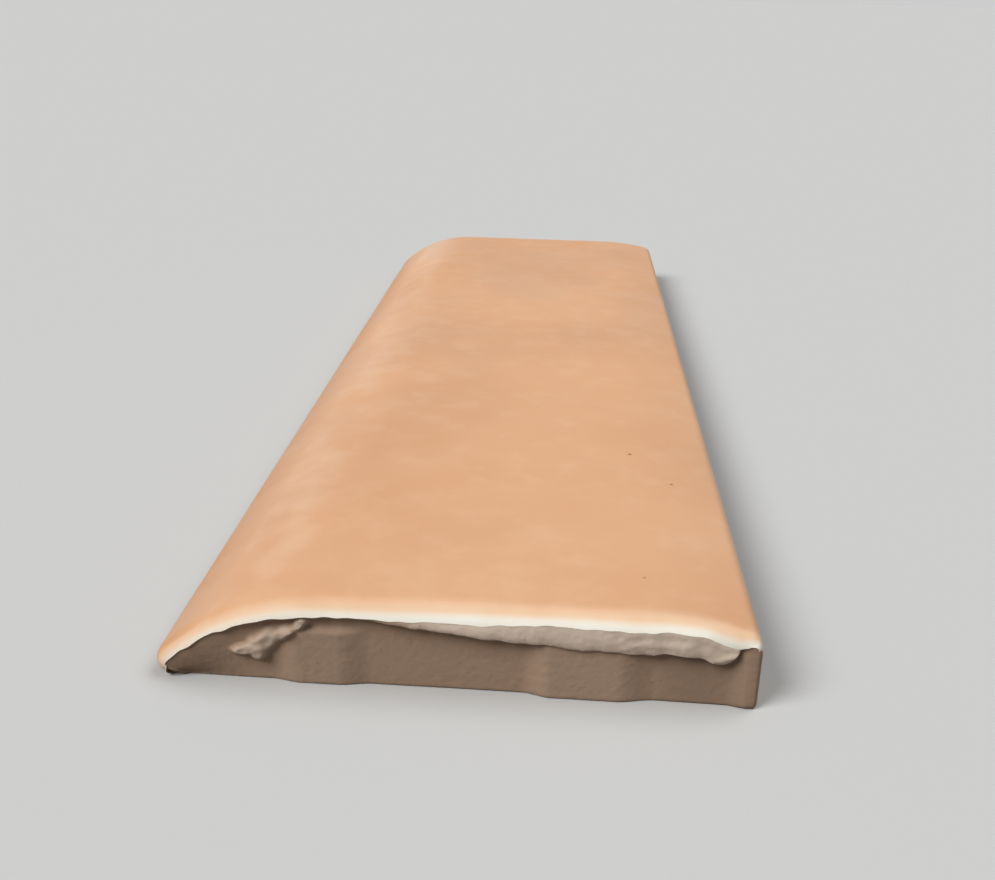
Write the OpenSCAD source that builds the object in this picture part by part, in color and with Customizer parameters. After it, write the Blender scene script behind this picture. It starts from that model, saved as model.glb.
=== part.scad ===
// Bullnose trim tile: one pressed, fired and glazed piece.
// Origin at the centre of the back, X from the bullnose to the straight back edge,
// Y along the length, Z out of the glazed face.

/* [Tile] */
// Length along the bullnose
length = 152.4; // [100:0.1:305]
// Width from the nose to the straight back edge
width = 50.8; // [45:0.1:110]
// Thickness through the flat of the face
thickness = 7.94; // [7:0.01:11]

/* [Glazed face] */
// Radius of the bullnose across the face
bullnose_r = 19.05; // [14:0.05:26]
// Radius of the nose, where the bullnose turns under to the back
nose_r = 1.4; // [0.8:0.1:2]
// Radius of the rolled edge at both ends, along the back edge and at its corners
edge_roll = 1.3; // [0.6:0.1:1.6]
// Width of the cushion that falls away towards the back edge
cushion_w = 9.8; // [5:0.1:14]
// Fall of the cushion, measured at the back edge
cushion_fall = 1.3; // [0.4:0.1:1.8]

/* [Pressed edges] */
// Set-back of the bare ends and back edge under the glazed lip
setback = 1.1; // [0.6:0.1:2]
// Depth of an end's lip below its rolled edge, beside the bullnose
lip_nose = 0.2; // [0.1:0.05:1]
// Depth of an end's lip below its rolled edge, beside the back corner
lip_corner = 2; // [1.4:0.1:3]
// Depth of the back edge's lip below its rolled edge
lip_side = 0.8; // [0.4:0.1:2]
// Distance from the back edge at which an end's lip stops
lip_stop = 2.2; // [1.7:0.1:5]
// Full-width land left at both ends of the back edge
side_land = 6; // [4:0.1:10]

/* [Spacer lugs] */
// Stand of a lug proud of the set-back edge
lug_stand = 0.5; // [0.2:0.05:0.6]
// Width of a lug where it leaves the set-back edge
lug_w = 10; // [6:0.1:14]
// Spacing of the two lugs on each end
end_lug_pitch = 22; // [16:0.1:26]
// Spacing of the two lugs on the back edge
side_lug_pitch = 76.2; // [40:0.1:80]

/* [Back keys] */
// Number of key grooves along the back
key_count = 4; // [1:1:5]
// Width of a key groove
key_w = 4.5; // [2:0.1:5]
// Depth of a key groove
key_depth = 0.8; // [0.3:0.1:1.5]
// Spacing of the key grooves
key_pitch = 9; // [6:0.1:9]
// Bare margin between the grooves and the ends of the tile
key_margin = 10; // [5:0.1:25]

/* [Hidden] */
$fa = 2;
$fs = 0.15;

glaze_colour = "#E0AE89";
over = 1;
end_y = length / 2;

// The section is laid out from x = 0 at the nose, and the nose circle stands on the back
bull_z = thickness - bullnose_r;
bull_x = nose_r + sqrt(pow(bullnose_r - nose_r, 2) - pow(nose_r - bull_z, 2));
nose_angle = atan2(nose_r - bull_z, nose_r - bull_x);

// The cushion leaves the flat of the face smoothly, and the back roll lies inside its arc
cushion_r = (pow(cushion_w, 2) + pow(cushion_fall, 2)) / (2 * cushion_fall);
cushion_x = width - cushion_w;
cushion_z = thickness - cushion_r;
roll_x = width - edge_roll;
roll_z = cushion_z + sqrt(pow(cushion_r - edge_roll, 2) - pow(roll_x - cushion_x, 2));
roll_angle = atan2(roll_z - cushion_z, roll_x - cushion_x);

lip_z = thickness - edge_roll;
lip_x = width - lip_stop;
corner_z = roll_z - lip_nose;
lug_r = (pow(lug_w / 2, 2) + pow(lug_stand, 2)) / (2 * lug_stand);

// What a rolled edge takes off a corner
module corner_waste(x, y, roll) {
    translate([x - roll, y - roll]) difference() {
        square(roll + over);
        circle(r = roll);
    }
}

// The length of the tile out to a given reach, with both outer corners rolled
module rolled_strip(reach, roll) {
    difference() {
        translate([0, -end_y]) square([reach, length]);
        for (side = [0, 1]) mirror([0, side]) corner_waste(reach, end_y, roll);
    }
}

// The strip turned about an axis along the tile, from one angle to another
module turned_strip(x, z, radius, roll, from, to) {
    translate([x, 0, z]) rotate([90, 0, 0]) rotate([0, 0, from])
        rotate_extrude(angle = to - from) rolled_strip(radius, roll);
}

// The flat of the face, between the bullnose and the cushion
module flat_of_face() {
    translate([cushion_x, 0, 0]) rotate([0, -90, 0])
        linear_extrude(height = cushion_x - bull_x) rolled_strip(thickness, edge_roll);
}

// The body below the curved faces, down to the back
module core() {
    core_z = lip_z - edge_roll;
    rotate([90, 0, 0]) linear_extrude(height = length, center = true)
        polygon([[nose_r, 0], [nose_r, nose_r], [bull_x, core_z], [cushion_x, core_z],
                 [roll_x, roll_z], [width, roll_z], [width, 0]]);
}

// The tile with its glazed face and rolled edges, before the bare edges are set back
module blank() {
    intersection() {
        linear_extrude(height = thickness) rolled_strip(width, edge_roll);
        union() {
            core();
            turned_strip(bull_x, bull_z, bullnose_r, edge_roll, 90, nose_angle);
            turned_strip(nose_r, nose_r, nose_r, min(edge_roll, nose_r), 0, 360);
            flat_of_face();
            turned_strip(cushion_x, cushion_z, cushion_r, edge_roll, roll_angle, 90);
            turned_strip(roll_x, roll_z, edge_roll, edge_roll, 0, 360);
        }
    }
}

// Low crowned spacer lugs, the parts of upright cylinders that stand out of an edge
module lugs(pitch) {
    for (side = [-1, 1])
        translate([side * pitch / 2, setback - lug_stand + lug_r, -over])
            cylinder(r = lug_r, h = thickness + 2 * over);
}

// The bare part of an end: under the bullnose, under a lip that deepens, then at the corner
module bare_end() {
    difference() {
        polygon([[-over, -over], [-over, lip_z - lip_nose], [bull_x, lip_z - lip_nose],
                 [lip_x, lip_z - lip_corner], [lip_x, corner_z],
                 [width + over, corner_z], [width + over, -over]]);
        difference() {
            translate([-2 * over, -2 * over]) square([bull_x + 2 * over, thickness + 2 * over]);
            translate([bull_x, bull_z]) circle(r = bullnose_r - edge_roll - lip_nose);
        }
    }
}

// Cut that sets one end back, leaves its lugs and rounds the bare corner
module end_setback() {
    translate([0, -end_y, 0]) difference() {
        translate([0, setback, 0]) rotate([90, 0, 0])
            linear_extrude(height = setback + over) bare_end();
        translate([width / 2, 0, 0]) lugs(end_lug_pitch);
    }
    translate([0, 0, -over]) linear_extrude(height = corner_z + over)
        mirror([0, 1]) corner_waste(width, end_y - setback, edge_roll);
}

// Cut that sets the back edge back between its end lands and leaves its lugs
module side_setback() {
    translate([width, 0, 0]) rotate([0, 0, 90]) difference() {
        translate([side_land - end_y, -over, -over])
            cube([length - 2 * side_land, setback + over, roll_z - lip_side + over]);
        lugs(side_lug_pitch);
    }
}

// Grooves that key the back into its bedding
module back_keys() {
    reach = end_y - key_margin - key_w / 2;
    for (i = [0 : key_count - 1])
        translate([width / 2 + (i - (key_count - 1) / 2) * key_pitch, 0, -over])
            linear_extrude(height = key_depth + over) {
                square([key_w, 2 * reach], center = true);
                for (side = [-1, 1]) translate([0, side * reach]) circle(d = key_w);
            }
}

module bullnose_tile() {
    color(glaze_colour) translate([-width / 2, 0, 0]) difference() {
        blank();
        end_setback();
        mirror([0, 1, 0]) end_setback();
        side_setback();
        back_keys();
    }
}

bullnose_tile();
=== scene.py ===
import math

import bmesh
import bpy
import numpy as np
from mathutils import Matrix, Vector, geometry, noise


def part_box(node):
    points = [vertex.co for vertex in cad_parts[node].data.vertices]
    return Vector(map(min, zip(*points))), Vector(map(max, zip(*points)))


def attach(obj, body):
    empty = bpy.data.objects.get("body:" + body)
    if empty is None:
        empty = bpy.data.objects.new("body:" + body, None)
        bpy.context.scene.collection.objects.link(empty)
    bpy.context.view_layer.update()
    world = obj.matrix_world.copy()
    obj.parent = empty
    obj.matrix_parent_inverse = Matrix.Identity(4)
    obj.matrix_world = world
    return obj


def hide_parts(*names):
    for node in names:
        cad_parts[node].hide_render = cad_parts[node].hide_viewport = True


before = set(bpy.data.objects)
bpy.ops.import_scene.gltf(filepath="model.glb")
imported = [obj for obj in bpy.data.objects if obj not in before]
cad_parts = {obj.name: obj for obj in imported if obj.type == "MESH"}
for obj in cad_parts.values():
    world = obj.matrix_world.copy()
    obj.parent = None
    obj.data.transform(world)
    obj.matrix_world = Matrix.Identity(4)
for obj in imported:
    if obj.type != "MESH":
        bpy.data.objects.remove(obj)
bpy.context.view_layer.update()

# Pressed section
# The tile is dust-pressed clay. Its section runs from under the nose, over the bullnose and the
# flat of the face, down the cushion to the rolled back edge. Sizes are the solid's own, in
# millimetres, measured from the nose, from the near end and from the back.
MM = 0.001
box_low, box_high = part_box("bullnose_tile")
width, length, thickness = [(high - low) / MM for low, high in zip(box_low, box_high)]
bullnose_r = 19.05
nose_r = 1.4
edge_roll = 1.3
cushion_w = 9.8
cushion_fall = 1.3
column_step, fewest_steps = 0.17, 6
straight_down, straight_up, straight_back = 270, 90, 0

bull_z = thickness - bullnose_r
bull_x = nose_r + math.sqrt((bullnose_r - nose_r) ** 2 - (nose_r - bull_z) ** 2)
nose_angle = math.degrees(math.atan2(nose_r - bull_z, nose_r - bull_x))
cushion_r = (cushion_w ** 2 + cushion_fall ** 2) / (2 * cushion_fall)
cushion_x = width - cushion_w
cushion_z = thickness - cushion_r
roll_x = width - edge_roll
roll_z = cushion_z + math.sqrt((cushion_r - edge_roll) ** 2 - (roll_x - cushion_x) ** 2)
roll_angle = math.degrees(math.atan2(roll_z - cushion_z, roll_x - cushion_x))


def arc(x, z, radius, start, end):
    """Points of the section along an arc, with the outward direction at each."""
    count = max(fewest_steps, round(abs(math.radians(end - start)) * radius / column_step))
    angle = np.radians(np.linspace(start, end, count + 1))
    away = np.stack([np.cos(angle), np.sin(angle)], axis=1)
    return np.array([x, z]) + radius * away, away


def level(x_start, x_end, z):
    """Points of the section along the flat of the face, with the outward direction at each."""
    count = round((x_end - x_start) / column_step)
    x = np.linspace(x_start, x_end, count + 1)
    return np.stack([x, np.full_like(x, z)], axis=1), np.tile([0.0, 1.0], (count + 1, 1))


section_runs = [
    arc(nose_r, nose_r, nose_r, straight_down, nose_angle),
    arc(bull_x, bull_z, bullnose_r, nose_angle, straight_up),
    level(bull_x, cushion_x, thickness),
    arc(cushion_x, cushion_z, cushion_r, straight_up, roll_angle),
    arc(roll_x, roll_z, edge_roll, roll_angle, straight_back),
]
section = np.concatenate([section_runs[0][0]] + [points[1:] for points, _ in section_runs[1:]])
outward = np.concatenate([section_runs[0][1]] + [away[1:] for _, away in section_runs[1:]])
run = np.concatenate([[0], np.cumsum(np.linalg.norm(np.diff(section, axis=0), axis=1))])
roll_columns = len(section_runs[-1][0]) - 1

# Glazed face
# A poured glaze covers the face and runs over the rolled edges and the rounded back corners. It lies
# in slight waves and stops in a wandering line at the foot of the roll. There it is thin and breaks
# to cream and then to white, most of all along the middle of an end; the cream that rises before
# the roll is partly a painted highlight.
wave_height, wave_size, wave_stretch = 0.03, 11.0, [1, 0.7, 1]
dimple_height, dimple_size = 0.008, 3.4
calm_reach = 2.5
broad_roll, corner_roll = 2.4, 1.36
nose_ease, corner_ease = (1, 6), (1.5, 6)
rim_x = [2, 6, 10, 14, 20, 26, 35, 41, 45, 46.5, 47.8, 49.1, 49.9, 50.4, 50.8]
rim_fall = [1.1, 1.2, 1.3, 1.3, 1.26, 1.15, 1.0, 1.08, 0.86, 0.9, 1.22, 1.28, 1.0, 0.8, 0.35]
rim_inset, rim_wander = 0.26, 0.075
wander_long, wander_short, wander_share = 4.0, 1.4, 0.9
nose_tuck, nose_foot = 0.9, 1.15
roll_rows = 12
fine_step, fine_reach, coarse_step = 0.45, 8.0, 2.0
noise_steps = (17.3, 5.1, 9.7)


def smooth(low, high, value):
    """0 below low, 1 above high and a soft step between."""
    t = np.clip((value - low) / (high - low), 0, 1)
    return t * t * (3 - 2 * t)


def ripple(points, size, seed):
    """Soft noise, about -1 to 1, at points in millimetres; size is that of one ripple."""
    flat = np.asarray(points, dtype=float).reshape(-1, 3) / size
    shift = Vector([seed * step for step in noise_steps])
    values = [noise.noise(Vector(point) + shift) for point in flat]
    return np.array(values).reshape(np.shape(points)[:-1])


from_nose, from_back = run, run[-1] - run
end_roll = broad_roll + (edge_roll - broad_roll) * (1 - smooth(*nose_ease, from_nose))
end_roll += (corner_roll - end_roll) * (1 - smooth(*corner_ease, from_back))
rim_turn = np.arccos(1 - np.interp(section[:, 0], rim_x, rim_fall) / end_roll)
roll_start = end_roll * np.sin(rim_turn) + rim_inset
roll_start += (nose_foot - roll_start) * (1 - smooth(0, nose_tuck, run))


def rolled_end(seed):
    """Rows of the glaze over an end, from its rim to the start of the roll, and their way from the rim."""
    place = np.stack([section[:, 0], np.zeros_like(run), section[:, 1]], axis=1)
    short = wander_share * ripple(place, wander_short, seed + 1)
    wander = rim_wander * (ripple(place, wander_long, seed) + short)
    turn = np.minimum(rim_turn + wander, math.pi / 2) * smooth(0, nose_tuck, run)
    angle = np.linspace(1, 0, roll_rows + 1)[:, None] * turn
    drop = end_roll * (1 - np.cos(angle))
    x = section[:, 0] - outward[:, 0] * drop
    z = section[:, 1] - outward[:, 1] * drop
    rows = np.stack([x, roll_start - end_roll * np.sin(angle), z], axis=2)
    return rows, end_roll * (rim_turn - angle)


def at_far_end(rows):
    """Rows made for the near end, turned to the far end."""
    return rows * [1, -1, 1] + [0, length, 0]


fine_rows = np.arange(roll_start.max() + fine_step, fine_reach, fine_step)
coarse_count = round((length - 2 * fine_reach) / coarse_step)
coarse_rows = np.linspace(fine_reach, length - fine_reach, coarse_count + 1)
face_y = np.concatenate([fine_rows, coarse_rows, length - fine_rows[::-1]])
face_rows = np.stack(np.broadcast_arrays(section[:, 0], face_y[:, None], section[:, 1]), axis=2)
face_end = np.minimum(face_y, length - face_y)[:, None]
face_way = end_roll * rim_turn + face_end - roll_start
near_roll, near_way = rolled_end(seed=1)
far_roll, far_way = rolled_end(seed=3)
glaze = np.concatenate([near_roll, face_rows, at_far_end(far_roll)[::-1]])
from_rim = np.concatenate([near_way, face_way, far_way[::-1]])

from_end = np.minimum(glaze[:, :, 1], length - glaze[:, :, 1])
calm = smooth(0, calm_reach, from_end) * smooth(0, calm_reach, from_nose)
calm = calm * smooth(0, calm_reach, from_back)
wave = wave_height * (ripple(glaze * wave_stretch, wave_size, seed=5) - 1)
lift = calm * (wave + dimple_height * ripple(glaze, dimple_size, seed=6))
glaze[:, :, 0] += outward[:, 0] * lift
glaze[:, :, 2] += outward[:, 1] * lift

# How thin the glaze lies, with painted light carried in the same values: 1 at its rim, where the
# cream before the roll is partly a painted highlight; a little in painted highlight patches on the
# shoulder of the bullnose; and below 0 where it pools along the nose, partly as painted shade.
thin_x = [0, 6, 14, 26, 40, 51]
thin_broad = [0.6, 0.65, 0.8, 1.0, 1.0, 0.85]
thin_most = [0.5, 0.65, 0.85, 1.0, 0.95, 0.9]
white_reach, cream_sheen_reach, cream_sheen_share, edge_reach = (0.25, 1.2), (0.7, 3.0), 0.36, (0.1, 0.7)
sheen_rise, sheen_fall, shoulder_sheen = (2.5, 5.5), (8, 13), 0.08
sheen_stretch, sheen_size, sheen_range = [1, 0.35, 1], 5.0, (-0.05, 0.4)
pool_and_shade_reach, pool_and_shade_deep, pool_and_shade_end = (0.5, 5), 0.7, 0.3

way = from_rim / np.interp(section[:, 0], thin_x, thin_broad)
rim_white = np.interp(section[:, 0], thin_x, thin_most) * (1 - smooth(*white_reach, way))
# The cream that rises over about 3 mm before the roll is partly thin glaze and partly a painted highlight.
end_thin_and_sheen = cream_sheen_share * (1 - smooth(*cream_sheen_reach, way)) + (1 - cream_sheen_share) * rim_white
back_thin = 1 - smooth(*edge_reach, from_back)
nose_thin = 1 - smooth(*edge_reach, from_nose)
thin_and_painted_light = np.maximum(end_thin_and_sheen, np.maximum(back_thin, nose_thin))
# Painted highlight: broken pale patches along the shoulder of the bullnose.
sheen_band = smooth(*sheen_rise, section[:, 0]) * (1 - smooth(*sheen_fall, section[:, 0]))
sheen_patches = smooth(*sheen_range, ripple(glaze * sheen_stretch, sheen_size, seed=13))
thin_and_painted_light = np.maximum(thin_and_painted_light, shoulder_sheen * sheen_band * sheen_patches)
# Darker glaze along the nose: partly real pooling, partly painted shade on that side of the bullnose.
thin_and_painted_light -= pool_and_shade_deep * (1 - smooth(*pool_and_shade_reach, section[:, 0])) * (1 - smooth(0, pool_and_shade_end, thin_and_painted_light))


def wire(tree, kind, inputs, **settings):
    """Adds a node with its own settings; its inputs are values, or sockets to link."""
    made = tree.nodes.new(kind)
    for name, value in settings.items():
        setattr(made, name, value)
    for name, value in inputs.items():
        if isinstance(value, bpy.types.NodeSocket):
            tree.links.new(value, made.inputs[name])
        else:
            made.inputs[name].default_value = value
    return made


def sum_up(tree, operation, first, second):
    """Works two values out into one, held between 0 and 1."""
    made = wire(tree, "ShaderNodeMath", {0: first, 1: second}, operation=operation, use_clamp=True)
    return made.outputs[0]


def blend_colour(tree, share, first, second):
    """Mixes two colours by a share."""
    made = wire(tree, "ShaderNodeMix", {0: share, 6: first, 7: second}, data_type="RGBA")
    return made.outputs[2]


def spread(tree, value, low, high, to_low, to_high, shape="LINEAR"):
    """Maps a value from one range to another, held at its ends."""
    inputs = {"Value": value, "From Min": low, "From Max": high, "To Min": to_low, "To Max": to_high}
    return wire(tree, "ShaderNodeMapRange", inputs, interpolation_type=shape).outputs["Result"]


def start_group(name, inputs, output):
    """Opens a node group with number inputs and one number output."""
    group = bpy.data.node_groups.new(name, "ShaderNodeTree")
    for title in inputs:
        group.interface.new_socket(title, in_out="INPUT", socket_type="NodeSocketFloat")
    group.interface.new_socket(output, in_out="OUTPUT", socket_type="NodeSocketFloat")
    given = group.nodes.new("NodeGroupInput").outputs
    leave = group.nodes.new("NodeGroupOutput").inputs
    place = group.nodes.new("ShaderNodeTexCoord").outputs["Object"]
    return group, given, leave, place


cloud_low, cloud_high, speck_edge = 0.15, 0.85, 0.5
clouds, given, leave, place = start_group("fired_clouds", ["Scale", "Detail"], "Cloud")
inputs = {"Vector": place, "Scale": given["Scale"], "Detail": given["Detail"]}
cloud = wire(clouds, "ShaderNodeTexNoise", inputs).outputs["Fac"]
clouds.links.new(spread(clouds, cloud, cloud_low, cloud_high, 0, 1, "SMOOTHSTEP"), leave["Cloud"])

specks, given, leave, place = start_group("iron_specks", ["Scale", "Radius", "Amount"], "Speck")
cells = wire(specks, "ShaderNodeTexVoronoi", {"Vector": place, "Scale": given["Scale"]})
chosen = wire(specks, "ShaderNodeSeparateColor", {"Color": cells.outputs["Color"]}).outputs["Red"]
kept = sum_up(specks, "LESS_THAN", chosen, given["Amount"])
round_spot = spread(specks, cells.outputs["Distance"], 0, given["Radius"], 1, 0)
spot = sum_up(specks, "MULTIPLY", round_spot, kept)
specks.links.new(spread(specks, spot, 0, speck_edge, 0, 1), leave["Speck"])


def place_group(tree, group, inputs):
    """Places a node group with its own values and gives its output."""
    made = wire(tree, "ShaderNodeGroup", {}, node_tree=group)
    for title, value in inputs.items():
        made.inputs[title].default_value = value
    return made.outputs[0]


def start_finish(name):
    """Opens a node material and gives its tree and its shader."""
    material = bpy.data.materials.new(name)
    material.use_nodes = True
    return material, material.node_tree, material.node_tree.nodes["Principled BSDF"].inputs


peach_deep = (0.715, 0.38, 0.203, 1)
peach_light = (0.795, 0.45, 0.252, 1)
peach_milky = (0.82, 0.53, 0.33, 1)
peach_pooled_and_shaded = (0.62, 0.31, 0.145, 1)
speck_brown = (0.30, 0.15, 0.05, 1)
cream_thin_and_sheen = (0.90, 0.63, 0.42, 1)
thin_white = (0.98, 0.94, 0.83, 1)
curdle_low, curdle_share, break_uneven, cream_full = 0.2, 0.1, 0.06, 0.4
bloom_low, bloom_high, glaze_smooth, glaze_dull = 0.2, 0.8, 0.3, 0.5
glaze_specular = 0.17
glaze_finish, tree, shader = start_finish("peach_glaze")
drift = place_group(tree, clouds, {"Scale": 45, "Detail": 2})
curdle = place_group(tree, clouds, {"Scale": 320, "Detail": 4})
bloom = place_group(tree, clouds, {"Scale": 70, "Detail": 3})
iron = place_group(tree, specks, {"Scale": 500, "Radius": 0.14, "Amount": 0.009})
peach = blend_colour(tree, drift, peach_deep, peach_light)
peach = blend_colour(tree, spread(tree, curdle, curdle_low, 1, 0, curdle_share), peach, peach_milky)
# This attribute holds how thin the glaze lies, with painted highlight and painted shade mixed in.
thin_and_painted_light_at = wire(tree, "ShaderNodeAttribute", {}, attribute_name="glaze_thin_and_painted_light").outputs["Fac"]
# Pooled glaze along the nose, partly painted shade.
peach = blend_colour(tree, spread(tree, thin_and_painted_light_at, -1, 0, 1, 0), peach, peach_pooled_and_shaded)
peach = blend_colour(tree, iron, peach, speck_brown)
uneven = spread(tree, curdle, 0, 1, -break_uneven, break_uneven)
breaking_and_sheen = sum_up(tree, "ADD", thin_and_painted_light_at, uneven)
# Cream for thin glaze, also standing for painted highlight before the roll and on the bullnose shoulder.
peach = blend_colour(tree, spread(tree, breaking_and_sheen, 0, cream_full, 0, 1), peach, cream_thin_and_sheen)
peach = blend_colour(tree, spread(tree, breaking_and_sheen, cream_full, 1, 0, 1), peach, thin_white)
tree.links.new(peach, shader["Base Color"])
dullness = spread(tree, bloom, bloom_low, bloom_high, glaze_smooth, glaze_dull)
tree.links.new(dullness, shader["Roughness"])
shader["Specular IOR Level"].default_value = glaze_specular

# Bare edges
# Below the glaze the pressed clay is bare: a rough lip left by the press, then an edge set back under
# it with low spacer lugs, worn a little at the foot. A torn ridge of clay clings to the near end
# beside the bullnose.
setback = 1.1
foot_x, foot_setback = [2, 7, 26, 42, 48.4, 49.8], [nose_foot, 1.03, 1.0, 0.88, 0.74, 0.3]
top_x, top_setback = [1, 5, 11, 48.4, 49.8], [0.3, 0.4, 1.08, 1.05, 0.3]
lip_start, lip_even, lip_full, lip_end_x, lip_lobe = 17.0, 24.0, 35.0, 49.0, 1.8
lip_deep, lip_side = 1.97, 0.8
lip_flare, lip_curl, curl_power, lip_lean = 0.2, 0.1, 6, 0.2
lip_ragged, ragged_long, ragged_short, ragged_share = 0.1, 3.5, 0.8, 0.35
end_lugs = [(10.0, 12.6, 15.7, 18.6, 0.44), (31.2, 33.7, 39.1, 42.4, 0.58)]
lug_pitch, lug_half, lug_flank, lug_stand = 76.2, 5.5, 1.7, 0.5
lug_middles = (length / 2 - lug_pitch / 2, length / 2 + lug_pitch / 2)
side_lugs = [(y - lug_half, y - lug_half + lug_flank, y + lug_half - lug_flank, y + lug_half, lug_stand)
             for y in lug_middles]
lug_top, lug_top_fade = 4.9, 0.7
side_land, land_step = 6.0, 0.4
bead, bead_low, bead_flush, bead_deep = 0.1, 0.8, 0.9, 0.5
under_drop, foot_wear, foot_inset, low_share = 0.25, 0.25, 0.1, 0.3
corner_wear, corner_worn = 1.8, 2.5
fan_reach, foot_corner_r = 8.0, 0.4
drip_x, drip_reach, drip_stand = 2.35, 0.35, 0.3
rim_rows, lip_rows, under_rows, edge_rows, wear_rows = 2, 12, 5, 34, 4


def lugs(place, bumps):
    """Stand of the spacer lugs along an edge; each rises between two places and falls between two."""
    stand = np.zeros_like(place)
    for rise, full, brow, end, high in bumps:
        stand += high * (smooth(rise, full, place) - smooth(brow, end, place))
    return stand


def end_edge(x):
    """Distance of the foot of the bare end behind the lip, from the nose to the back corner."""
    return np.interp(x, foot_x, foot_setback)


def side_edge(y):
    """Distance of the bare back edge behind its lip, between the lands at its ends."""
    inside = smooth(side_land - land_step, side_land + land_step, np.minimum(y, length - y))
    return (setback - lugs(y, side_lugs)) * inside


torn_lumps = [
    (12.75, 5.75, 0.9, 0.5, 35, 0.7),
    (11.2, 4.7, 1.5, 0.6, 38, 0.45),
    (9.5, 3.75, 1.9, 1.05, 42, 0.58),
    (9.1, 2.8, 0.85, 0.75, 60, 0.62),
    (8.1, 3.1, 1.4, 0.6, 12, 0.55),
]
tear_ragged, tear_size, tear_frayed, fray_size = 0.25, 1.3, 0.08, 0.5
tear_core, tear_skirt, tear_union = 0.5, 1.25, 3
tear_rough, tear_grain = 0.3, 0.8


def torn_ridge(x, z):
    """Stand of the torn ridge: lumps run together, each with its place, half sizes, tilt and stand."""
    place = np.stack([x, z, np.zeros_like(x)], axis=-1)
    torn_x = tear_ragged * ripple(place, tear_size, seed=7)
    torn_z = tear_ragged * ripple(place, tear_size, seed=8)
    ragged_x = x + torn_x + tear_frayed * ripple(place, fray_size, seed=17)
    ragged_z = z + torn_z + tear_frayed * ripple(place, fray_size, seed=18)
    total = np.zeros_like(x)
    for lump_x, lump_z, half_long, half_high, tilt, stand in torn_lumps:
        cos, sin = math.cos(math.radians(tilt)), math.sin(math.radians(tilt))
        along = (ragged_x - lump_x) * cos + (ragged_z - lump_z) * sin
        across = (ragged_z - lump_z) * cos - (ragged_x - lump_x) * sin
        away = np.hypot(along / half_long, across / half_high)
        total += (stand * (1 - smooth(tear_core, tear_skirt, away))) ** tear_union
    return total ** (1 / tear_union) * (1 + tear_rough * ripple(place, tear_grain, seed=24))


def between(start, end, count):
    """Rows from one line of points to the next, without the first."""
    share = np.linspace(0, 1, count + 1)[1:, None, None]
    return start + (end - start) * share


def pressed_lip(top, fall, deep, into):
    """Rows down a lip that swells a little and curls under at its low edge."""
    share = np.linspace(0, 1, lip_rows + 1)[1:, None]
    swell = np.minimum(deep, 1) * (lip_curl * share ** curl_power - lip_flare * np.sin(np.pi / 2 * share))
    return top + fall * (deep * share)[..., None] + into * swell[..., None]


def wall(rim, tucked, lip, under, foot, into):
    """Rows of a bare edge from the glaze rim down to the back, its foot worn round, most at the corners."""
    from_corner = np.hypot(width - foot[:, 0], np.minimum(foot[:, 1], length - foot[:, 1]))[:, None]
    wear = 1 + corner_wear * (1 - smooth(0, corner_worn, from_corner))
    low = np.minimum(foot_wear * wear, low_share * under[:, 2:])
    turn = np.linspace(0, math.pi / 2, wear_rows + 1)[:, None, None]
    inset = foot_inset * low / foot_wear * (1 - np.cos(turn))
    worn = np.concatenate([foot + inset * into[:, :2], low * (1 - np.sin(turn))], axis=2)
    return np.concatenate([
        rim[None],
        tucked[None],
        lip,
        between(lip[-1], under, under_rows),
        between(under, worn[0], edge_rows),
        worn[1:],
    ])


def end_wall(rim):
    """The bare wall of an end and its back corner, made for the near end."""
    columns = len(run) - roll_columns
    x = rim[:, 0]
    deep = lip_deep * np.clip((x - lip_start) / (lip_full - lip_start), 0, 1)
    uneven = ripple(rim, ragged_long, seed=9) + ragged_share * ripple(rim, ragged_short, seed=10)
    deep += lip_ragged * uneven * smooth(lip_start, lip_even, x)
    deep *= np.sqrt(1 - np.clip((x - lip_end_x) / lip_lobe + 1, 0, 1) ** 2)
    deep = np.clip(deep, 0, None)
    deep[columns:] = 0
    fall = np.tile([0.0, 0.0, -1.0], (len(rim), 1))
    fall[:columns, 0] = -outward[:columns, 0]
    fall[:columns, 2] = -outward[:columns, 1]

    turn = np.radians(np.linspace(-90, 0, len(rim) - columns + 1))[1:]
    corner = np.stack([np.cos(turn), np.sin(turn)], axis=1)
    into = np.tile([0.0, 1.0, 0.0], (len(rim), 1))
    into[columns:, :2] = -corner
    fan = np.minimum(run[:columns] / np.interp(fan_reach, section[:columns, 0], run[:columns]), 1)
    fanned_x = np.where(fan < 1, nose_r + (fan_reach - nose_r) * fan, section[:columns, 0])
    foot = np.empty((len(rim), 2))
    foot[:columns] = np.stack([fanned_x, end_edge(fanned_x)], axis=1)
    foot[:columns, 1] -= drip_stand * np.exp(-((fanned_x - drip_x) / drip_reach) ** 2)
    foot[columns:] = [width - foot_corner_r, end_edge(width) + foot_corner_r] + foot_corner_r * corner

    flush = 1 - bead_flush * smooth(0, bead_deep, deep)
    tucked = rim + bead * into * smooth(0, bead_low, rim[:, 2:]) * flush[:, None]
    lip = pressed_lip(tucked, fall, deep, into)
    lean = lip_lean * (1 - smooth(lip_start, lip_even, x)) * np.minimum(deep, 1)
    lip[:, :, 1] += lean * np.linspace(0, 1, lip_rows + 1)[1:, None]
    under = lip[-1].copy()
    top = np.interp(under[:columns, 0], top_x, top_setback)
    behind = np.where(run[:columns] < nose_tuck, foot[:columns, 1], top)
    under[:columns, 1] = np.maximum(behind, under[:columns, 1])
    under[columns:, :2] = foot[columns:]
    under[:, 2] -= np.minimum(under_drop, low_share * under[:, 2])
    return wall(rim, tucked, lip, under, foot, into)


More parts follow.
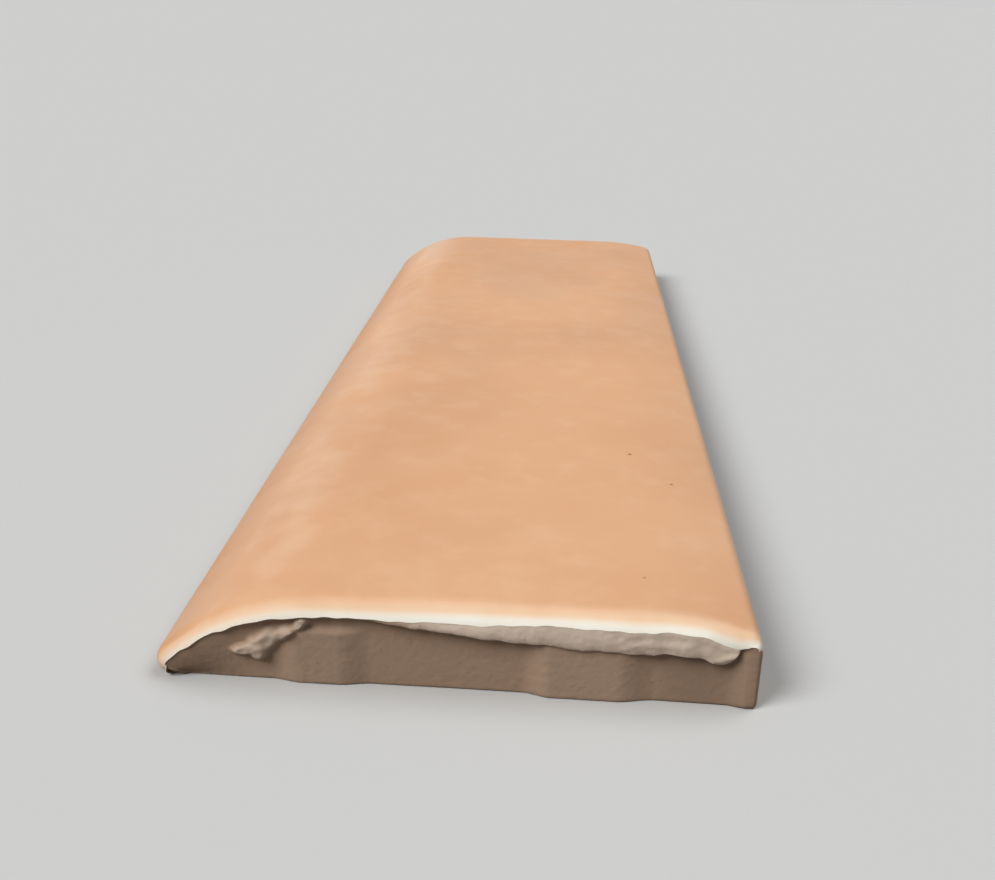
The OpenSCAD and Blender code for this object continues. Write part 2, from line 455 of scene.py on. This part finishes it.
def side_wall(rim):
    """The bare wall of the back edge between its corners."""
    y = rim[:, 1]
    shift = end_edge(width) * (1 - smooth(edge_roll, fan_reach, np.minimum(y, length - y)))
    foot_y = y + np.where(y < length / 2, shift, -shift)
    back = side_edge(foot_y)
    into = np.tile([-1.0, 0.0, 0.0], (len(rim), 1))
    fall = np.tile([0.0, 0.0, -1.0], (len(rim), 1))
    foot = np.stack([width - back, foot_y], axis=1)
    tucked = rim + lip_flare * into
    lip = pressed_lip(tucked, fall, lip_side * back / setback, into)
    under = np.column_stack([foot, lip[-1, :, 2] - under_drop])
    return wall(rim, tucked, lip, under, foot, into)


corner_rows = slice(1, roll_rows + 1)
near_rim = np.concatenate([glaze[0], glaze[corner_rows, -1]])
far_rim = at_far_end(np.concatenate([glaze[-1], glaze[::-1][corner_rows, -1]]))
near_wall = end_wall(near_rim)
far_wall = end_wall(far_rim)
back_wall = side_wall(glaze[roll_rows + 1:-roll_rows - 1, -1])

# The lip's folds, the lugs, the bulge beside the nose, the clay's grain and the torn ridge.
lip_fold, fold_size, fold_rise, fold_x = 0.3, 1.0, 0.35, (36, 44)
fold_across, fold_down = (0.45, -0.9), (0.2, 0.1)
nose_bulge, bulge_x = 0.15, (3, 9)
lip_rough, edge_rough = 0.06, 0.03
grain_long, grain_short, grain_share = 1.1, 0.45, 0.6
ridge_clear = 0.1
below_lip, above_edge = under_rows + edge_rows + wear_rows, rim_rows + lip_rows + under_rows
lip_share = np.repeat([0, 1, 0], [rim_rows, lip_rows, below_lip])[:, None]
fold_rows = smooth(0, fold_rise, np.linspace(0, 1, lip_rows))
fold_share = np.concatenate([np.zeros(rim_rows), fold_rows, np.zeros(below_lip)])[:, None]
down = np.linspace(0, 1, edge_rows + 1)[1:]
bulge_share = np.concatenate([np.zeros(above_edge), np.sin(np.pi * down), np.zeros(wear_rows)])[:, None]
under_share = np.linspace(0, 1, under_rows + 1)[1:]
edge_share = np.concatenate([np.zeros(rim_rows + lip_rows), under_share, np.ones(edge_rows + wear_rows)])
edge_share = edge_share[:, None]
rough = lip_rough * lip_share + edge_rough * edge_share


def clay_grain(rows, seed):
    """Depth of the clay's coarse grain."""
    short = grain_share * ripple(rows, grain_short, seed + 1)
    return np.abs(rough * (ripple(rows, grain_long, seed) + short))


end_columns = len(near_rim)
settle = np.ones(end_columns)
settle[:len(run)] = smooth(0, nose_tuck, run)
for end, seed in ((near_wall, 11), (far_wall, 31)):
    x, z = end[:, :, 0], end[:, :, 2]
    across = fold_across[0] * x + fold_across[1] * z
    slant = np.stack([across, fold_down[0] * x + fold_down[1] * z, 0 * x], axis=-1)
    folds = lip_fold * np.abs(ripple(slant, fold_size, seed + 4)) * smooth(*fold_x, x) * fold_share
    stand = lugs(x, end_lugs) * (1 - smooth(lug_top, lug_top + lug_top_fade, z)) * edge_share
    bulge = nose_bulge * bulge_share * (1 - smooth(*bulge_x, x))
    end[:, :, 1] += settle * (folds - stand - bulge + clay_grain(end, seed))
back_wall[:, :, 0] -= clay_grain(back_wall, seed=21)
ridge = torn_ridge(near_wall[:, :, 0], near_wall[:, :, 2]) * edge_share
near_wall[:, :, 1] -= np.minimum(ridge, np.clip(near_wall[:, :, 1] - ridge_clear, 0, None))
bare = np.concatenate([near_wall, back_wall, at_far_end(far_wall)[:, ::-1]], axis=1)

# How pale the clay is: 1 on the fresh lip, faded out where the lip starts as painted shade, below 0 as
# painted shade near the nose and below the lip towards the back corner, and between where the back
# corners and lug crests are paler and on the pale torn ridge.
lip_shade, lip_start_shade_x, end_depth = 0.72, (19.5, 24.5), (1.5, 2.5)
nose_shade, nose_shade_x = 0.5, (3, 8)
back_shade, back_shade_x = 0.55, (41, 45)
corner_paleness, corner_pale_start, corner_pale_full, lug_crest_paleness = 0.3, 2.4, 1, 0.12
ridge_pale, ridge_rise = 0.52, (0.1, 0.6)
lip_fade = np.linspace(1, lip_shade, lip_rows)
pale_rows = np.concatenate([np.ones(rim_rows), lip_fade, np.zeros(below_lip)])
pale_and_shade = pale_rows[:, None] * np.ones(bare.shape[1])
bare_x = bare[:, :, 0]
at_end = 1 - smooth(*end_depth, np.minimum(bare[:, :, 1], length - bare[:, :, 1]))
# Painted shade: the lip is kept dark where it starts, as if in shade.
pale_and_shade *= 1 - at_end * (1 - smooth(*lip_start_shade_x, bare_x))
# Painted shade: the end walls darkened near the nose and below the lip towards the back corner.
painted_shade = nose_shade * (1 - smooth(*nose_shade_x, bare_x)) + back_shade * smooth(*back_shade_x, bare_x)
pale_and_shade -= painted_shade * at_end * edge_share
# Paler towards the back corner and on the lug crests.
pale_corner = at_end * smooth(width - corner_pale_start, width - corner_pale_full, bare_x) * edge_share
pale_and_shade += corner_paleness * pale_corner + lug_crest_paleness * at_end * lugs(bare_x, end_lugs) * edge_share
near_pale_and_shade = pale_and_shade[:, :end_columns]
near_pale_and_shade += (ridge_pale - near_pale_and_shade) * smooth(*ridge_rise, ridge)

clay_tan = (0.465, 0.303, 0.203, 1)
clay_pale = (0.86, 0.70, 0.56, 1)
clay_dark_and_shade = (0.28, 0.185, 0.124, 1)
patch_share, grit_share, pore_share = 0.14, 0.1, 0.45
clay_roughest, clay_smoothest = 0.96, 0.86
grit_strength, grit_height = 0.15, 0.0001
clay_finish, tree, shader = start_finish("bare_clay")
patches = place_group(tree, clouds, {"Scale": 300, "Detail": 3})
grit = place_group(tree, clouds, {"Scale": 2600, "Detail": 3})
pores = place_group(tree, specks, {"Scale": 1500, "Radius": 0.2, "Amount": 0.1})
# This attribute holds the clay's paleness, with painted shade as values below 0.
pale_and_shade_at = wire(tree, "ShaderNodeAttribute", {}, attribute_name="clay_pale").outputs["Fac"]
clay = blend_colour(tree, spread(tree, pale_and_shade_at, 0, 1, 0, 1), clay_tan, clay_pale)
# Values below 0 darken the clay as painted shade.
clay = blend_colour(tree, spread(tree, pale_and_shade_at, -1, 0, 1, 0), clay, clay_dark_and_shade)
clay = blend_colour(tree, spread(tree, patches, 0, 1, patch_share, 0), clay, clay_dark_and_shade)
clay = blend_colour(tree, spread(tree, grit, 0, 1, grit_share, 0), clay, clay_dark_and_shade)
clay = blend_colour(tree, spread(tree, pores, 0, 1, 0, pore_share), clay, clay_dark_and_shade)
tree.links.new(clay, shader["Base Color"])
tree.links.new(spread(tree, grit, 0, 1, clay_roughest, clay_smoothest), shader["Roughness"])
inputs = {"Height": grit, "Strength": grit_strength, "Distance": grit_height}
surface = wire(tree, "ShaderNodeBump", inputs)
tree.links.new(surface.outputs["Normal"], shader["Normal"])

# Keyed back
# The back is pressed flat, with shallow round-ended grooves that key into the bedding. Their sides
# lean a little, so that the pressed tile leaves its die.
key_count, key_w, key_depth, key_pitch, key_margin, key_draft = 4, 4.5, 0.8, 9.0, 10.0, 0.25
key_turn = 12
key_reach = length / 2 - key_margin - key_w / 2
key_middles = width / 2 + (np.arange(key_count) - (key_count - 1) / 2) * key_pitch


def key_outline(middle, half_width, z):
    """Corners of a round-ended groove along the tile, at one depth."""
    turn = np.radians(np.linspace(0, 180, key_turn + 1))
    cap_x = middle + half_width * np.cos(turn)
    cap_y = length / 2 + key_reach + half_width * np.sin(turn)
    cap = np.stack([cap_x, cap_y], axis=1)
    loop = np.concatenate([cap, [2 * middle, length] - cap])
    return np.column_stack([loop, np.full(len(loop), z)])


def over_key(x, y):
    """Whether a place on the back lies over a groove."""
    past_end = max(abs(y - length / 2) - key_reach, 0)
    return bool((np.hypot(x - key_middles, past_end) < key_w / 2).any())


key_rims = [key_outline(middle, key_w / 2, 0) for middle in key_middles]
key_floors = [key_outline(middle, key_w / 2 - key_draft, key_depth) for middle in key_middles]

# Fired tile
# Body and glaze leave the kiln as one piece, so the face, the edges and the back are one closed
# mesh in the solid's own place. The back corners are drawn in to a round plan, the far ones more.
GLAZED, BARE = 0, 1
near_corner_r, far_corner_r = 0.5, 2.2
corner_low, corner_high = 1.5, 5.0
weld_reach, inside_outline = 1e-6, 1
sharp_turn, flat_down = math.radians(40), -0.999
places, faces, finishes, thinness_and_painted_light, paleness_and_shade = [], [], [], [], []


def rounded_corners(rows):
    """Rows with the back corners drawn in to a round plan, less so towards the foot."""
    near = rows[:, :, 1] < length / 2
    radius = np.where(near, near_corner_r, far_corner_r)
    from_end = np.where(near, rows[:, :, 1], length - rows[:, :, 1])
    across = np.clip(1 - (width - rows[:, :, 0]) / radius, 0, 1)
    along = np.clip(1 - from_end / radius, 0, 1)
    share = smooth(corner_low, corner_high, rows[:, :, 2]) * radius
    drawn = rows.copy()
    drawn[:, :, 0] -= share * across * (1 - np.sqrt(1 - along ** 2 / 2))
    inward = share * along * (1 - np.sqrt(1 - across ** 2 / 2))
    drawn[:, :, 1] += np.where(near, inward, -inward)
    return drawn


def keep_points(points, thin_and_painted_light_at=0.0, pale_and_shade_at=0.0):
    """Adds points to the mesh and gives the number of the first."""
    first = len(places)
    flat = points.reshape(-1, 3)
    places.extend((flat - [width / 2, length / 2, 0]) * MM)
    thinness_and_painted_light.extend(np.broadcast_to(thin_and_painted_light_at, points.shape[:-1]).ravel())
    paleness_and_shade.extend(np.broadcast_to(pale_and_shade_at, points.shape[:-1]).ravel())
    return first


def keep_grid(grid, finish, thin_and_painted_light_at=0.0, pale_and_shade_at=0.0, glazed_rows=0):
    """Adds a grid of points as faces of one finish; the first rows may belong to the glaze."""
    first = keep_points(grid, thin_and_painted_light_at, pale_and_shade_at)
    rows, columns = grid.shape[:2]
    for row in range(rows - 1):
        for column in range(columns - 1):
            corner = first + row * columns + column
            faces.append((corner, corner + 1, corner + columns + 1, corner + columns))
            finishes.append(GLAZED if row < glazed_rows else finish)


keep_grid(rounded_corners(glaze), GLAZED, thin_and_painted_light_at=thin_and_painted_light)
keep_grid(rounded_corners(bare), BARE, thin_and_painted_light_at=1.0, pale_and_shade_at=pale_and_shade, glazed_rows=1)
for key_rim, key_floor in zip(key_rims, key_floors):
    count = len(key_rim)
    first = keep_points(np.concatenate([key_rim, key_floor]))
    for i in range(count):
        after = (i + 1) % count
        faces.append((first + i, first + after, first + count + after, first + count + i))
    faces.append(tuple(first + count + i for i in range(count)))
    finishes.extend([BARE] * (count + 1))

mesh = bpy.data.meshes.new("fired_tile")
mesh.from_pydata([tuple(place) for place in places], [], faces)
mesh.polygons.foreach_set("material_index", finishes)
for name, values in (("glaze_thin_and_painted_light", thinness_and_painted_light), ("clay_pale", paleness_and_shade)):
    layer = mesh.attributes.new(name, "FLOAT", "POINT")
    layer.data.foreach_set("value", np.array(values, dtype=np.float32))

shape = bmesh.new()
shape.from_mesh(mesh)
bmesh.ops.remove_doubles(shape, verts=shape.verts, dist=weld_reach)
open_edges = [edge for edge in shape.edges if len(edge.link_faces) == 1]
rim_points = list(dict.fromkeys(point for edge in open_edges for point in edge.verts))
order = {point: number for number, point in enumerate(rim_points)}
flat_points = [point.co.xy / MM for point in rim_points]
flat_edges = [(order[edge.verts[0]], order[edge.verts[1]]) for edge in open_edges]
fill = geometry.delaunay_2d_cdt(flat_points, flat_edges, [], inside_outline, weld_reach)
for corners in fill[2]:
    middle = sum((fill[0][corner] for corner in corners), Vector((0, 0))) / len(corners)
    if not over_key(middle.x + width / 2, middle.y + length / 2):
        patch = shape.faces.new([rim_points[fill[3][corner][0]] for corner in corners])
        patch.material_index = BARE
bmesh.ops.recalc_face_normals(shape, faces=shape.faces)
shape.to_mesh(mesh)
shape.free()
mesh.set_sharp_from_angle(angle=sharp_turn)
mesh.polygons.foreach_set("use_smooth", [face.normal.z > flat_down for face in mesh.polygons])

tile = bpy.data.objects.new("fired_tile", mesh)
bpy.context.collection.objects.link(tile)
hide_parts("bullnose_tile")
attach(tile, "root")
mesh.materials.append(glaze_finish)
mesh.materials.append(clay_finish)

# Floor
# A plain pale floor that the tile lies on, wide enough to fill the view. It throws less light back on
# the tile's edges than it shows.
floor_half, floor_z = 40.0, -0.02 * MM
floor_pale, floor_dim = (0.62, 0.62, 0.61, 1), (0.15, 0.15, 0.15, 1)
floor_roughness = 0.8


def seen_directly(tree):
    """1 for rays from the camera, a glossy surface or glass, and 0 for all others."""
    rays = tree.nodes.new("ShaderNodeLightPath").outputs
    seen = sum_up(tree, "MAXIMUM", rays["Is Camera Ray"], rays["Is Glossy Ray"])
    return sum_up(tree, "MAXIMUM", seen, rays["Is Transmission Ray"])


floor_corners = [(-1, -1), (1, -1), (1, 1), (-1, 1)]
floor_points = [(x * floor_half, y * floor_half, floor_z) for x, y in floor_corners]
floor_mesh = bpy.data.meshes.new("floor")
floor_mesh.from_pydata(floor_points, [], [(0, 1, 2, 3)])
floor = bpy.data.objects.new("floor", floor_mesh)
bpy.context.collection.objects.link(floor)
floor_finish, tree, shader = start_finish("pale_floor")
tree.links.new(blend_colour(tree, seen_directly(tree), floor_dim, floor_pale), shader["Base Color"])
shader["Roughness"].default_value = floor_roughness
shader["Specular IOR Level"].default_value = 0
floor_mesh.materials.append(floor_finish)

# Light
# Soft lights far off: one high on the back side and one before the tile on the nose side, with a weak
# low one behind that shows the gloss of the bullnose. The pale surround meets the floor at the
# horizon and darkens above it.


def far_light(name, towards, energy, spread_angle):
    """A distant soft light; towards is the way from the tile to it."""
    lamp = bpy.data.lights.new(name, "SUN")
    lamp.energy = energy
    lamp.angle = math.radians(spread_angle)
    source = bpy.data.objects.new(name, lamp)
    source.rotation_euler = Vector(towards).to_track_quat("Z", "Y").to_euler()
    bpy.context.collection.objects.link(source)


far_light("overhead", towards=(0.45, 0.2, 0.87), energy=1.1, spread_angle=40)
far_light("front_light", towards=(-0.57, -0.42, 0.7), energy=2.3, spread_angle=30)
far_light("window_glow", towards=(-0.32, 0.93, 0.19), energy=0.02, spread_angle=16)

surround_low, surround_high, surround_glow = 0.61, 0.38, 0.18
surround_rise = 0.2
world = bpy.data.worlds.new("surround")
world.use_nodes = True
tree = world.node_tree
backdrop = tree.nodes["Background"].inputs
direction = tree.nodes.new("ShaderNodeTexCoord").outputs["Generated"]
height = wire(tree, "ShaderNodeSeparateXYZ", {"Vector": direction}).outputs["Z"]
shown = spread(tree, height, 0, surround_rise, surround_low, surround_high, "SMOOTHSTEP")
strength = spread(tree, seen_directly(tree), 0, 1, surround_glow, shown)
tree.links.new(strength, backdrop["Strength"])
backdrop["Color"].default_value = (1, 1, 1, 1)
bpy.context.scene.world = world
bpy.context.scene.view_settings.view_transform = "Standard"

# Camera
# Stands before the near end and a little above it, as in the photograph, turned slightly to the
# nose side.
camera_at = Vector((7.80, -154.58, 54.56)) * MM
heading, dip, lean = 3.20, 21.78, 1.34
view = bpy.data.cameras.new("camera")
view.lens = 40.36
view.sensor_width = 36
view.clip_start = 0.01
camera = bpy.data.objects.new("camera", view)
camera.matrix_world = (
    Matrix.Translation(camera_at)
    @ Matrix.Rotation(math.radians(heading), 4, "Z")
    @ Matrix.Rotation(math.radians(90 - dip), 4, "X")
    @ Matrix.Rotation(math.radians(lean), 4, "Z")
)
bpy.context.collection.objects.link(camera)
bpy.context.scene.camera = camera
